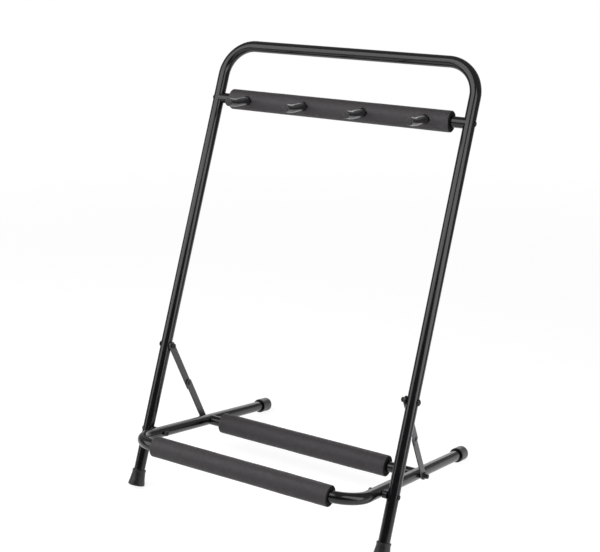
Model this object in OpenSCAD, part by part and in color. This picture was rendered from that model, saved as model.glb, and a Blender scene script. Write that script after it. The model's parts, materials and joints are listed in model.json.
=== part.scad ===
// Folding floor stand for three guitars, drawn open, standing on the plane z = 0.
// +X runs across the stand, +Y to its back and +Z up. The origin lies on the floor
// under the middle of the whole stand.

/* [Tubes] */
// Outer diameter of the two bent frame tubes
tube_d = 19; // [17:0.5:24]
// Wall of every tube
tube_wall = 1.2; // [0.8:0.1:1.8]
// Outer diameter of the two straight crossbars
bar_d = 18; // [16:0.5:18.5]

/* [Leg frame] */
// Distance between the centre lines of the two legs
leg_spacing = 472; // [450:1:520]
// Lean of the legs back from upright, in degrees
leg_lean = 24; // [21:0.5:27]
// Distance along a leg from the main pivot up to the centre line of the top bar
leg_rise = 688; // [660:1:800]
// Distance along a leg from the main pivot down to the bottom of its foot
leg_drop = 99.4; // [90:0.1:120]
// Centre line radius of the two top corner bends
top_bend_r = 54; // [45:1:70]
// Distance along a leg from the main pivot up to the top crossbar
crossbar_rise = 592; // [560:1:600]

/* [Base frame] */
// Slope of the arms down to the back, in degrees
arm_slope = 13.7; // [12.5:0.1:15]
// Distance along an arm from the main pivot forward to the front bar
front_reach = 81.2; // [75:0.1:95]
// Centre line radius of the two front corner bends
front_bend_r = 46.5; // [40:0.5:50]

/* [Foam sleeves] */
// Length of the top sleeve
top_foam_l = 412; // [380:1:425]
// Length of the front sleeve
front_foam_l = 329; // [280:1:335]
// How far the front sleeve has slid to the right of the middle
front_foam_slip = 4; // [0:1:6]
// Length of the rear sleeve
rear_foam_l = 333; // [280:1:350]
// How far the rear sleeve has slid to the left of the middle
rear_foam_slip = 11; // [0:1:16]
// Outer diameter of the top sleeve
top_foam_d = 35; // [32:0.5:38]
// Outer diameter of the front sleeve
front_foam_d = 34.5; // [32:0.5:38]
// Outer diameter of the rear sleeve
rear_foam_d = 37; // [32:0.5:38]
// Radius of the rounded outer edges of the sleeves' ends
foam_edge = 1.5; // [0.5:0.5:3]

/* [Neck pegs] */
// Distance between neighbouring pegs
peg_pitch = 111; // [100:1:125]
// Outer diameter of the vinyl sleeve on a peg
peg_d = 13.5; // [12:0.5:16]
// Diameter of the steel rod inside a peg
peg_rod_d = 9; // [7:0.5:10]
// Height of a peg's line above the crossbar's centre line
peg_lift = 2.2; // [0:0.2:3]
// Length of the straight part of a peg from the crossbar's centre line
peg_straight = 50; // [46:1:66]
// Centre line radius of a peg's upward bend
peg_bend_r = 60; // [40:1:90]
// Angle of that bend, in degrees
peg_bend = 9; // [6:1:24]
// Rise of the straight part above level, in degrees
peg_rise = 3; // [0:1:12]
// Length of the rod past the bend
peg_tip = 13; // [6:1:18]
// Thickness of the vinyl over the end of the rod
peg_end_wall = 4; // [2:0.5:5]
// Gap all round between a peg and the hole in the foam
peg_hole_gap = 1; // [0.5:0.25:2]

/* [Feet and caps] */
// Largest diameter of a leg's foot, at its bottom
foot_d = 29; // [27:0.5:33]
// Diameter of a foot at its top rim
foot_top_d = 23.5; // [22.5:0.5:26]
// Diameter of a foot's cone just under that rim
foot_neck_d = 22.5; // [21.5:0.5:24]
// Height of a foot along its leg
foot_h = 28; // [24:1:36]
// Height of the collar at a foot's top rim
foot_rim_h = 3; // [2:0.5:5]
// Thickness of rubber under the end of a leg
foot_floor = 6; // [4:0.5:8]
// Diameter of the cap on an arm's rear end
cap_d = 25.8; // [24:0.2:30]
// Length of that cap
cap_l = 28; // [20:1:32]
// Thickness of rubber behind the end of an arm
cap_floor = 4.5; // [3:0.5:6]
// Radius of the rounded edges of feet and caps
rubber_edge = 2.5; // [1.5:0.5:3.5]
// Depth worn flat where a foot or a cap meets the floor
tread_flat = 0.5; // [0.3:0.1:1]

/* [Folding brace] */
// Distance along a leg from the main pivot to the upper brace pivot
brace_rise = 149; // [135:1:165]
// Distance along an arm from the main pivot to the lower brace pivot
brace_reach = 150.5; // [135:0.5:165]
// Width of the flat brace links
link_w = 14; // [12:0.5:15]
// Thickness of the brace links
link_t = 2; // [1.5:0.25:3]
// Height of the domed heads of the rivet between the links
rivet_head_h = 1.4; // [1:0.1:2]
// Diameter of those heads
rivet_head_d = 8.5; // [7:0.5:11]
// Diameter of the rivet's shank
rivet_d = 5; // [4:0.5:6]
// Length of the stop tab on an upper link, past the end of the strip
tab_l = 3.5; // [1:0.5:6]

/* [Bolts] */
// Diameter of every bolt
bolt_d = 5; // [4:0.5:6]
// Diameter of the domed heads of the upper brace bolts
head_d = 10.5; // [9.5:0.5:12]
// Height of those heads
head_h = 3.6; // [3:0.2:5]
// Diameter of the low domed heads of the crossbar and pivot bolts
low_head_d = 8.5; // [8:0.5:10]
// Height of those low heads
low_head_h = 1.8; // [1.4:0.2:2.4]
// Width across the flats of the socket in a domed head
socket_af = 3; // [2.5:0.5:4]
// Depth of that socket as a part of the head's height
socket_part = 0.5; // [0.3:0.05:0.6]
// Thickness of the flange under the head of a lower brace bolt
flange_h = 1.5; // [1:0.25:2]
// Diameter of the round head on that flange
barrel_d = 8; // [7:0.5:9]
// Height of that round head
barrel_h = 6.5; // [5:0.5:7]
// Radius of the rounded edge of that round head
barrel_edge = 1.5; // [0.5:0.25:2]
// Width across the flats of the nuts
nut_af = 8; // [7.5:0.5:10]
// Height of the nuts
nut_h = 4.5; // [4:0.5:6]
// Length of bolt that shows past a nut
bolt_proud = 1.4; // [0.5:0.1:3]
// Outer diameter of the spacers and washers
spacer_d = 13; // [11:0.5:14]
// Length of the threaded plugs in the ends of the crossbars
plug_l = 18; // [12:1:24]

/* [Clearances] */
// Gap between parts that pass each other as the stand folds
play = 0.4; // [0.3:0.05:0.6]
// Gap between faces that slide on each other
slide_gap = 0.1; // [0.05:0.05:0.15]
// Radial gap between a bolt and the hole that it fits
bolt_gap = 0.05; // [0.03:0.01:0.08]
// Gap between fixed pieces that are pressed against or over each other
seat_gap = 0.05; // [0.02:0.01:0.1]

/* [Hidden] */
$fn = 64;
// How far a cutting shape runs past what it cuts
cut = 1;
// Depth of the block that cuts feet and caps flat at the floor
floor_depth = 20;

tube_r = tube_d / 2;
bore_r = tube_r - tube_wall;
bar_r = bar_d / 2;
bar_bore_r = bar_r - tube_wall;
hole_r = bolt_d / 2 + bolt_gap;
plug_r = bar_bore_r - seat_gap;

// Stack of parts in the gap between a leg and the arm beside it
side_gap = 2 * (link_t + rivet_head_h) + 3 * play;
leg_x = leg_spacing / 2;
arm_x = leg_x - tube_d - side_gap;
leg_inner_x = leg_x - tube_r;
leg_outer_x = leg_x + tube_r + seat_gap;
arm_outer_x = arm_x + tube_r;
washer_h = play + rivet_head_h - slide_gap;
upper_link_x = leg_inner_x - play - rivet_head_h - link_t;
lower_link_x = arm_outer_x + play + rivet_head_h;

// Heights that put the feet and the caps on the floor
foot_r = foot_d / 2;
cap_r = cap_d / 2;
pivot_h = leg_drop * cos(leg_lean) + (foot_r - rubber_edge) * sin(leg_lean)
    + rubber_edge * (1 - cos(leg_lean)) - tread_flat;
cap_edge_drop = (cap_r - rubber_edge) * cos(arm_slope) + rubber_edge - tread_flat;
arm_reach = rubber_edge + (pivot_h - cap_edge_drop) / sin(arm_slope);

// Place of the main pivot that centres the stand front to back
front_extent = front_reach * cos(arm_slope) + front_foam_d / 2;
rear_extent = (arm_reach - rubber_edge) * cos(arm_slope)
    + (cap_r - rubber_edge) * sin(arm_slope) + rubber_edge;
pivot_y = (front_extent - rear_extent) / 2;

// The brace is straight when the stand is open, so its links are half the distance
spread = 90 - leg_lean + arm_slope;
brace_span = sqrt(pow(brace_rise, 2) + pow(brace_reach, 2)
    - 2 * brace_rise * brace_reach * cos(spread));
link_l = brace_span / 2;
upper_pin = [0, brace_rise * sin(leg_lean), brace_rise * cos(leg_lean)];
lower_pin = [0, brace_reach * cos(arm_slope), -brace_reach * sin(arm_slope)];
brace_angle = atan2(lower_pin.z - upper_pin.z, lower_pin.y - upper_pin.y);

peg_count = 4;
peg_sides = 24;
bend_steps = 4;
peg_arc = peg_bend_r * peg_bend * PI / 180;
// Distance along a peg's line to the end of its rod
rod_end = peg_straight + peg_arc + peg_tip;
// Distance from the crossbar's centre line back to the rod's rear end, inside the foam's bore
rod_back = sqrt(pow(bar_r, 2) - pow(peg_rod_d / 2 + peg_lift, 2));
peg_xs = [for (i = [0 : peg_count - 1]) (i - (peg_count - 1) / 2) * peg_pitch];
// Turns of a tube that a crossbar's end is shaped around, from upright
along_leg = [0, 0, 0];
along_arm = [90, 0, 0];
socket_r = socket_af / 2 / cos(30);
nut_r = nut_af / 2 / cos(30);

steel = [0.07, 0.07, 0.075];
link_steel = [0.2, 0.2, 0.21];
zinc = [0.13, 0.13, 0.14];
foam = [0.24, 0.23, 0.24];
vinyl = [0.05, 0.05, 0.055];
rubber = [0.16, 0.16, 0.17];

// Frames of the two tubes, with their origin at the main pivot
module on_legs() translate([0, pivot_y, pivot_h]) rotate([-leg_lean, 0, 0]) children();
module on_arms() translate([0, pivot_y, pivot_h]) rotate([-arm_slope, 0, 0]) children();
// Frame of one brace link: local +Y runs along the link from its own bolt
module on_upper_link() translate([0, pivot_y, pivot_h] + upper_pin)
    rotate([brace_angle, 0, 0]) children();
module on_lower_link() translate([0, pivot_y, pivot_h] + lower_pin)
    rotate([brace_angle + 180, 0, 0]) children();
// side is 1 on the right and -1 on the left
module at_side(side) {
    if (side > 0) children();
    else mirror([1, 0, 0]) children();
}
module both_sides() for (side = [-1, 1]) at_side(side) children();

// Cylinder along +X from x1 to x2
module rod_x(r, x1, x2) translate([x1, 0, 0]) rotate([0, 90, 0]) cylinder(r = r, h = x2 - x1);
// Hexagonal bar along +X from x1 to x2
module hex_x(r, x1, x2) translate([x1, 0, 0]) rotate([0, 90, 0])
    cylinder(r = r, h = x2 - x1, $fn = 6);
module ring_x(r, hole, x1, x2) difference() {
    rod_x(r, x1, x2);
    rod_x(hole, x1 - cut, x2 + cut);
}

// U bend in the XZ plane: legs down to z = -low, bar centre line at z = high
module u_solid(r, half, high, low, bend) {
    for (side = [-1, 1]) {
        translate([side * half, 0, -low]) cylinder(r = r, h = low + high - bend);
        translate([side * (half - bend), 0, high - bend]) rotate([90, 0, 0])
            rotate([0, 0, side > 0 ? 0 : 90]) rotate_extrude(angle = 90)
                translate([bend, 0]) circle(r = r);
    }
    translate([0, 0, high]) rod_x(r, bend - half, half - bend);
}

// Domed bolt along +X: shank from x1 to the seat of a head of diameter d and height h at x2
module bolt_x(x1, x2, d, h) {
    rod_x(bolt_d / 2, x1, x2);
    translate([x2, 0, 0]) rotate([0, 90, 0]) difference() {
        dome(d / 2, h, h / 3);
        translate([0, 0, h * (1 - socket_part)])
            cylinder(r = socket_r, h = h * socket_part + cut, $fn = 6);
    }
}

// Bolt through a leg from x1, with its low head on the leg's outer side
module low_bolt_x(x1) bolt_x(x1, leg_outer_x, low_head_d, low_head_h);

// Bolt along +X with a flanged round head
module flanged_bolt_x(x1, x2) {
    rod_x(bolt_d / 2, x1, x2);
    translate([x2, 0, 0]) rotate([0, 90, 0]) rotate_extrude() {
        square([spacer_d / 2, flange_h]);
        square([barrel_d / 2, flange_h + barrel_h - barrel_edge]);
        square([barrel_d / 2 - barrel_edge, flange_h + barrel_h]);
        translate([barrel_d / 2 - barrel_edge, flange_h + barrel_h - barrel_edge])
            circle(r = barrel_edge);
    }
}

// Low dome of radius r and height h on a straight rim
module dome(r, h, rim) {
    crown = h - rim;
    ball_r = (pow(r, 2) + pow(crown, 2)) / (2 * crown);
    intersection() {
        cylinder(r = r, h = h);
        translate([0, 0, h - ball_r]) sphere(r = ball_r);
    }
}

// Roll of foam along X with rounded outer edges
module foam_roll(d, l) rotate([0, 90, 0]) translate([0, 0, -l / 2]) rotate_extrude() {
    translate([0, foam_edge]) square([d / 2, l - 2 * foam_edge]);
    square([d / 2 - foam_edge, l]);
    for (y = [foam_edge, l - foam_edge])
        translate([d / 2 - foam_edge, y]) circle(r = foam_edge);
}
module bar_sleeve(d, l) difference() {
    foam_roll(d, l);
    rod_x(bar_r + seat_gap, -l / 2 - cut, l / 2 + cut);
}

// Straight tube between two frame tubes whose centre lines are at x = -half and half
module crossbar(half, along) difference() {
    rod_x(bar_r, -half, half);
    rod_x(bar_bore_r, -half - cut, half + cut);
    for (side = [-1, 1]) translate([side * half, 0, 0]) cope(along);
}

// Space of the tube that a crossbar's end is shaped around
module cope(along) rotate(along) translate([0, 0, -bar_d])
    cylinder(r = tube_r + seat_gap, h = 2 * bar_d);

module crossbar_plugs(half, along) both_sides() difference() {
    ring_x(plug_r, hole_r, half - tube_r - plug_l, half);
    translate([half, 0, 0]) cope(along);
}

// Leg frame
module main_frame_tube() color(steel) on_legs() difference() {
    u_solid(tube_r, leg_x, leg_rise, leg_drop - foot_floor, top_bend_r);
    u_solid(bore_r, leg_x, leg_rise, leg_drop - foot_floor + cut, top_bend_r);
    for (z = [0, brace_rise, crossbar_rise]) translate([0, 0, z]) both_sides()
        rod_x(hole_r, leg_inner_x - cut, leg_x + tube_r + cut);
}

module top_crossbar() color(steel) on_legs() translate([0, 0, crossbar_rise]) difference() {
    crossbar(leg_x, along_leg);
    for (x = peg_xs) translate([x, 0, 0]) peg_axis()
        translate([0, 0, -bar_d]) cylinder(r = peg_rod_d / 2 + seat_gap, h = 2 * bar_d);
}

module top_crossbar_plugs() color(zinc) on_legs() translate([0, 0, crossbar_rise])
    crossbar_plugs(leg_x, along_leg);

module top_crossbar_bolts() color(zinc) on_legs() translate([0, 0, crossbar_rise]) both_sides()
    low_bolt_x(leg_inner_x - plug_l + bolt_d / 2);

module top_foam() color(foam) on_legs() translate([0, 0, crossbar_rise]) difference() {
    bar_sleeve(top_foam_d, top_foam_l);
    for (x = peg_xs) translate([x, 0, 0]) peg_axis()
        cylinder(r = peg_d / 2 + peg_hole_gap, h = top_foam_d);
}

// Local +Z runs along the straight part of a peg, and local +Y points up
module peg_axis() rotate([90 + leg_lean - peg_rise, 0, 0]) translate([0, peg_lift, 0]) children();

// Turn of a peg's line at distance s along it: none up to the bend, then up to peg_bend
function peg_turn(s) = min(max((s - peg_straight) / peg_bend_r * 180 / PI, 0), peg_bend);
function peg_point(s) = let (turn = peg_turn(s), past = max(s - peg_straight - peg_arc, 0))
    [0, peg_bend_r * (1 - cos(turn)) + past * sin(turn),
        min(s, peg_straight) + peg_bend_r * sin(turn) + past * cos(turn)];
// Ring of points of radius r around the line at s
function peg_ring(s, r) = let (turn = peg_turn(s)) [for (i = [0 : peg_sides - 1])
    let (a = 360 * i / peg_sides)
        peg_point(s) + r * [cos(a), sin(a) * cos(turn), -sin(a) * sin(turn)]];

// Bar of radius r along a peg's line, with a rounded far end
module peg_bar(r, start, end) peg_axis() {
    edge = r / 2;
    stations = concat([[start, r]],
        [for (i = [0 : bend_steps]) [peg_straight + peg_arc * i / bend_steps, r]],
        [for (a = [0 : 22.5 : 90]) [end - edge + edge * sin(a), r - edge + edge * cos(a)]]);
    rings = len(stations);
    polyhedron(points = [for (st = stations) each peg_ring(st[0], st[1])],
        faces = concat([[for (i = [0 : peg_sides - 1]) i]],
            [[for (i = [peg_sides - 1 : -1 : 0]) (rings - 1) * peg_sides + i]],
            [for (k = [0 : rings - 2], i = [0 : peg_sides - 1]) let (j = (i + 1) % peg_sides)
                each [[k * peg_sides + i, (k + 1) * peg_sides + j, k * peg_sides + j],
                    [k * peg_sides + i, (k + 1) * peg_sides + i, (k + 1) * peg_sides + j]]]));
}

module peg_rods() color(zinc) on_legs() translate([0, 0, crossbar_rise])
    for (x = peg_xs) translate([x, 0, 0]) peg_bar(peg_rod_d / 2, -rod_back, rod_end);

module peg_sleeve(i) color(vinyl) on_legs() translate([peg_xs[i], 0, crossbar_rise]) difference() {
    peg_bar(peg_d / 2, 0, rod_end + peg_end_wall);
    peg_bar(peg_rod_d / 2 + seat_gap, -cut, rod_end + seat_gap);
    rod_x(bar_r + seat_gap, -peg_d, peg_d);
}

module foot(side) color(rubber) at_side(side) difference() {
    on_legs() translate([leg_x, 0, -leg_drop]) difference() {
        rotate_extrude() foot_profile();
        translate([0, 0, foot_floor - seat_gap]) cylinder(r = tube_r + seat_gap, h = foot_h);
    }
    floor_cut();
}

// Half outline of a foot: a cone with a rounded bottom edge and a collar at the top
module foot_profile() {
    neck_h = foot_h - foot_rim_h;
    square([foot_r - rubber_edge, rubber_edge]);
    translate([foot_r - rubber_edge, rubber_edge]) circle(r = rubber_edge);
    polygon([[0, rubber_edge], [foot_r, rubber_edge], [foot_neck_d / 2, neck_h], [0, neck_h]]);
    translate([0, neck_h]) square([foot_top_d / 2, foot_rim_h]);
}

// Space under the floor
module floor_cut() translate([0, 0, -floor_depth]) translate([-leg_spacing, -leg_rise, 0])
    cube([2 * leg_spacing, 2 * leg_rise, floor_depth]);

module pivot_bolts() color(zinc) on_legs() both_sides()
    low_bolt_x(arm_x - tube_r - play - nut_h - bolt_proud);

module pivot_spacers() color(zinc) on_legs() both_sides()
    ring_x(spacer_d / 2, hole_r, arm_outer_x + slide_gap, leg_inner_x - slide_gap);

module nut_x(x1) difference() {
    hex_x(nut_r, x1, x1 + nut_h);
    rod_x(hole_r, x1 - cut, x1 + nut_h + cut);
}

module pivot_nuts() color(zinc) on_legs() both_sides() nut_x(arm_x - tube_r - play - nut_h);

module upper_brace_bolts() color(zinc) on_legs() translate([0, 0, brace_rise]) both_sides()
    bolt_x(upper_link_x - slide_gap - nut_h - bolt_proud, leg_outer_x, head_d, head_h);

module upper_brace_washers() color(zinc) on_legs() translate([0, 0, brace_rise]) both_sides()
    ring_x(spacer_d / 2, hole_r, leg_inner_x - washer_h, leg_inner_x);

module upper_brace_nuts() color(zinc) on_legs() translate([0, 0, brace_rise]) both_sides()
    nut_x(upper_link_x - slide_gap - nut_h);

// Base frame
module base_u(r, low) rotate([90, 0, 0]) u_solid(r, arm_x, front_reach, low, front_bend_r);

module base_frame_tube() color(steel) on_arms() difference() {
    base_u(tube_r, arm_reach - cap_floor);
    base_u(bore_r, arm_reach - cap_floor + cut);
    for (y = [0, brace_reach]) translate([0, y, 0]) both_sides()
        rod_x(hole_r, arm_x - tube_r - cut, arm_outer_x + cut);
}

module rear_crossbar() color(steel) on_arms() translate([0, brace_reach, 0])
    crossbar(arm_x, along_arm);

module rear_crossbar_plugs() color(zinc) on_arms() translate([0, brace_reach, 0])
    crossbar_plugs(arm_x, along_arm);

// Its bore follows the tube, a little way round the right-hand bend too
module front_foam() color(foam) on_arms() difference() {
    translate([front_foam_slip, -front_reach, 0]) foam_roll(front_foam_d, front_foam_l);
    base_u(tube_r + seat_gap, 0);
}

module rear_foam() color(foam) on_arms() translate([-rear_foam_slip, brace_reach, 0])
    bar_sleeve(rear_foam_d, rear_foam_l);

module rear_cap(side) color(rubber) at_side(side) difference() {
    on_arms() translate([arm_x, arm_reach, 0]) rotate([90, 0, 0]) difference() {
        rotate_extrude() cap_profile();
        translate([0, 0, cap_floor - seat_gap]) cylinder(r = tube_r + seat_gap, h = cap_l);
    }
    floor_cut();
}

// Half outline of a cap, rounded at its closed end
module cap_profile() {
    square([cap_r - rubber_edge, cap_l]);
    translate([0, rubber_edge]) square([cap_r, cap_l - rubber_edge]);
    translate([cap_r - rubber_edge, rubber_edge]) circle(r = rubber_edge);
}

module lower_brace_bolts() color(zinc) on_arms() translate([0, brace_reach, 0]) both_sides()
    flanged_bolt_x(arm_x - tube_r - plug_l + bolt_d / 2, lower_link_x + link_t + slide_gap);

module lower_brace_washers() color(zinc) on_arms() translate([0, brace_reach, 0]) both_sides()
    ring_x(spacer_d / 2, hole_r, arm_outer_x, arm_outer_x + washer_h);

// Brace links: x is the face nearer the middle of the stand
module link_strip(x) {
    translate([x, 0, -link_w / 2]) cube([link_t, link_l, link_w]);
    for (y = [0, link_l]) translate([0, y, 0]) rod_x(link_w / 2, x, x + link_t);
}
module link_holes(x) {
    rod_x(hole_r, x - cut, x + link_t + cut);
    translate([0, link_l, 0]) rod_x(rivet_d / 2 + seat_gap, x - cut, x + link_t + cut);
}

module upper_link(side) color(link_steel) at_side(side) on_upper_link() difference() {
    union() {
        link_strip(upper_link_x);
        translate([upper_link_x, link_l, -link_w / 2]) cube([link_t, link_w / 2 + tab_l, link_w / 2]);
    }
    link_holes(upper_link_x);
}
module lower_link(side) color(link_steel) at_side(side) on_lower_link() difference() {
    link_strip(lower_link_x);
    link_holes(lower_link_x);
}

// The rivet between the links, in two halves: each link carries the half in its own hole
module upper_rivet(side) color(zinc) at_side(side) on_upper_link() translate([0, link_l, 0]) {
    rod_x(rivet_d / 2, upper_link_x, upper_link_x + link_t);
    translate([upper_link_x + link_t, 0, 0]) rotate([0, 90, 0])
        dome(rivet_head_d / 2, rivet_head_h, rivet_head_h / 4);
}
module lower_rivet(side) color(zinc) at_side(side) on_lower_link() translate([0, link_l, 0]) {
    rod_x(rivet_d / 2, lower_link_x, lower_link_x + link_t);
    translate([lower_link_x, 0, 0]) rotate([0, -90, 0])
        dome(rivet_head_d / 2, rivet_head_h, rivet_head_h / 4);
}

main_frame_tube();
top_crossbar();
top_crossbar_plugs();
top_crossbar_bolts();
top_foam();
peg_rods();
peg_sleeve(0);  // peg_sleeve_1
peg_sleeve(1);  // peg_sleeve_2
peg_sleeve(2);  // peg_sleeve_3
peg_sleeve(3);  // peg_sleeve_4
foot(-1);  // foot_left
foot(1);  // foot_right
pivot_bolts();
pivot_spacers();
pivot_nuts();
upper_brace_bolts();
upper_brace_washers();
upper_brace_nuts();
base_frame_tube();
rear_crossbar();
rear_crossbar_plugs();
front_foam();
rear_foam();
rear_cap(-1);  // rear_cap_left
rear_cap(1);  // rear_cap_right
lower_brace_bolts();
lower_brace_washers();
upper_link(-1);  // upper_link_left
upper_link(1);  // upper_link_right
upper_rivet(-1);  // upper_rivet_left
upper_rivet(1);  // upper_rivet_right
lower_link(-1);  // lower_link_left
lower_link(1);  // lower_link_right
lower_rivet(-1);  // lower_rivet_left
lower_rivet(1);  // lower_rivet_right
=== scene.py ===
import json
from itertools import product

import bmesh
import bpy
import numpy as np
from mathutils import Euler, Matrix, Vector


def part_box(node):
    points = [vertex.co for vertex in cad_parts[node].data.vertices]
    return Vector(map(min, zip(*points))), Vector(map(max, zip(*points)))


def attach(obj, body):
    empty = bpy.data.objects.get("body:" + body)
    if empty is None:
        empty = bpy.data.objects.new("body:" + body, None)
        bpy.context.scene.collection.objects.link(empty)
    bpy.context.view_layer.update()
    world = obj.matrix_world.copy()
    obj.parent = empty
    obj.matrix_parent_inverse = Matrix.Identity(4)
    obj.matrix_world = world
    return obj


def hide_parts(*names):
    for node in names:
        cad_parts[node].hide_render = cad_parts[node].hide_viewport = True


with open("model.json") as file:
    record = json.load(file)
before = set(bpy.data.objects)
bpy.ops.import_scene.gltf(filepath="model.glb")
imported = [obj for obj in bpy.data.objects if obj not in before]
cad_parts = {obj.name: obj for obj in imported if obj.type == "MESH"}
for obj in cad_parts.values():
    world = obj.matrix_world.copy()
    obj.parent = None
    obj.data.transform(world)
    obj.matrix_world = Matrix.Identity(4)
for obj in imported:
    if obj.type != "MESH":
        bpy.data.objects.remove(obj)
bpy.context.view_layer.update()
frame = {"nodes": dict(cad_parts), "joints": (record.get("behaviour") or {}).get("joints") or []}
print("stage 1: the packed frame is loaded")

# The camera stands where the photographer stood: the tubes' edges in the photograph gave its place
cameraSettings = dict(place=(0.91821, -1.58061, 0.98877), down=18.47, left=30.26, lens=70.04, sensor=36.0)


def addCamera(s):
    data = bpy.data.cameras.new("photoCamera")
    data.lens = s["lens"]
    data.sensor_width = s["sensor"]
    camera = bpy.data.objects.new("photoCamera", data)
    camera.location = s["place"]
    camera.rotation_euler = (np.radians(90 - s["down"]), 0, np.radians(s["left"]))
    bpy.context.scene.collection.objects.link(camera)
    bpy.context.scene.camera = camera


addCamera(cameraSettings)

# Directions and places that every piece is built from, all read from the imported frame
sideways = np.array([1.0, 0.0, 0.0])
jointPlaces = {j["name"]: np.array(j["pos_m"], float) for j in frame["joints"]}
pivot = jointPlaces["base_fold"]
upperPin = jointPlaces["upper_link_turn_right"]
lowerPin = jointPlaces["lower_link_turn_right"]


def unit(v):
    return v / np.linalg.norm(v)


def inPlane(v):
    # The part of a vector that lies in the stand's side view
    return v - sideways * v.dot(sideways)


legUp = unit(inPlane(upperPin - pivot))
legFront = np.cross(sideways, legUp)
armBack = unit(inPlane(lowerPin - pivot))
armTop = np.cross(sideways, armBack)
linkDown = unit(inPlane(lowerPin - upperPin))
linkLength = np.linalg.norm(inPlane(lowerPin - upperPin)) / 2
linkFront = np.cross(linkDown, sideways)


def corners(node):
    low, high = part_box(node)
    return np.array(low), np.array(high)


def middleOf(node):
    low, high = corners(node)
    return (low + high) / 2


# Sizes in metres of the tubes and of the stack between a leg and the arm beside it
sizes = dict(tube=0.0095, wall=0.0012, bar=0.009, fit=0.00005, play=0.0004, slide=0.0001, link=0.002,
             rivetHead=0.0014)
frameHigh = corners("main_frame_tube")[1]
baseLow, baseHigh = corners("base_frame_tube")
legX = frameHigh[0] - sizes["tube"]
armX = baseHigh[0] - sizes["tube"]
legInner = legX - sizes["tube"]
legOuter = legX + sizes["tube"]
armOuter = armX + sizes["tube"]
armInner = armX - sizes["tube"]


# Meshes
def gridFaces(rows, columns, loop=False):
    # Quads of a grid whose columns close into a ring, and whose rows do too if it is a loop
    start = np.arange(rows if loop else rows - 1)[:, None] * columns
    here = np.arange(columns)[None, :]
    after = (here + 1) % columns
    above = (start + columns) % (rows * columns)
    return np.stack([start + here, start + after, above + after, above + here], -1).reshape(-1, 4)


def outward(points, faces):
    # The sum of the tetrahedra from the origin to every face is negative on a shell that is inside out
    a, b, c, d = (points[faces[:, i]] for i in range(4))
    volume = np.einsum("ij,ij->", a, np.cross(b, c)) + np.einsum("ij,ij->", a, np.cross(c, d))
    return faces if volume > 0 else faces[:, ::-1]


def gridShell(points, loop=False, cut=None):
    # One closed shell from a grid of points, with the material number of each row of faces
    rows, columns = points.shape[:2]
    flat = points.reshape(-1, 3)
    faces = outward(flat, gridFaces(rows, columns, loop))
    kinds = np.zeros(len(faces), int) if cut is None else np.repeat(cut, columns)[:len(faces)]
    return flat, faces, kinds


def addMesh(name, points, faces):
    mesh = bpy.data.meshes.new(name)
    mesh.from_pydata(points, [], faces)
    added = bpy.data.objects.new(name, mesh)
    bpy.context.scene.collection.objects.link(added)
    return added


def makePiece(name, shells, coats, body, stands, crease=35.0, poles=True):
    # Joins closed shells into one named piece, dressed, riding on its body and standing for its CAD nodes
    starts = np.cumsum([0] + [len(shell[0]) for shell in shells[:-1]])
    points = np.concatenate([shell[0] for shell in shells])
    faces = np.concatenate([shell[1] + start for shell, start in zip(shells, starts)])
    kinds = np.concatenate([shell[2] for shell in shells])
    piece = addMesh(name, points, faces)
    mesh = piece.data
    mesh.polygons.foreach_set("material_index", kinds.astype(np.int32))
    if poles:
        closePoles(mesh)
    mesh.polygons.foreach_set("use_smooth", np.ones(len(mesh.polygons), bool))
    if crease:
        mesh.set_sharp_from_angle(angle=np.radians(crease))
    for coat in coats:
        mesh.materials.append(coat)
    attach(piece, body)
    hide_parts(*stands)
    return piece


def closePoles(mesh):
    # A ring of points in one place becomes one point, and its quads become triangles
    shell = bmesh.new()
    shell.from_mesh(mesh)
    bmesh.ops.remove_doubles(shell, verts=shell.verts, dist=1e-7)
    shell.to_mesh(mesh)
    shell.free()


# Large numbers that scatter the lattice's places, and the count of heights that they are scattered to
scatter = dict(x=73856093, y=19349663, z=83492791, seed=2654435, again=1274126177, keep=0x7FFFFFFF,
               heights=100003)


def latticeNoise(points, cell, seed):
    # Random heights on a cubic lattice, blended between its eight corners by a smoothstep
    s = scatter
    place = points / cell
    base = np.floor(place).astype(np.int64)
    part = place - base
    part = part * part * (3 - 2 * part)
    total = np.zeros(points.shape[:-1])
    for corner in product((0, 1), repeat=3):
        node = base + np.array(corner)
        mixed = node[..., 0] * s["x"] ^ node[..., 1] * s["y"] ^ node[..., 2] * s["z"] ^ seed * s["seed"]
        mixed = (mixed ^ (mixed >> 13)) * s["again"] & s["keep"]
        height = (mixed ^ (mixed >> 16)) % s["heights"] / (s["heights"] / 2) - 1
        total += height * np.prod(np.where(np.array(corner) > 0, part, 1 - part), -1)
    return total


def smoothStep(value, low, high):
    t = np.clip((value - low) / (high - low), 0, 1)
    return t * t * (3 - 2 * t)


def turned(along, radius, origin, axis, start, columns=64, mirrored=False):
    # Surface of revolution: origin + axis * along + radius * (start * cos(a) + across * sin(a)).
    # Along and radius are lists down the profile, or grids where they change with the angle a
    angle = np.linspace(0, 2 * np.pi, columns, endpoint=False)
    along, radius = (np.asarray(v, float) for v in (along, radius))
    along = along[:, None] if along.ndim == 1 else along
    radius = radius[:, None] if radius.ndim == 1 else radius
    across = np.cross(axis, start)
    ring = start * np.cos(angle)[:, None] + across * np.sin(angle)[:, None]
    points = origin + axis * along[..., None] + ring[None] * (radius + 0 * angle)[..., None]
    return mirror(points) if mirrored else points


def mirror(points):
    return points * np.array([-1.0, 1.0, 1.0])


def arc(centre, radius, first, last, steps):
    # Points (along, radius) of an arc in a profile, from one angle to another in degrees
    angle = np.radians(np.linspace(first, last, steps))
    return np.stack([centre[0] + radius * np.cos(angle), centre[1] + radius * np.sin(angle)], -1)


def profile(*parts):
    # Joins points and arcs of a profile, and returns its two columns
    joined = np.concatenate([np.atleast_2d(np.asarray(part, float)) for part in parts])
    return joined[:, 0], joined[:, 1]


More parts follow.
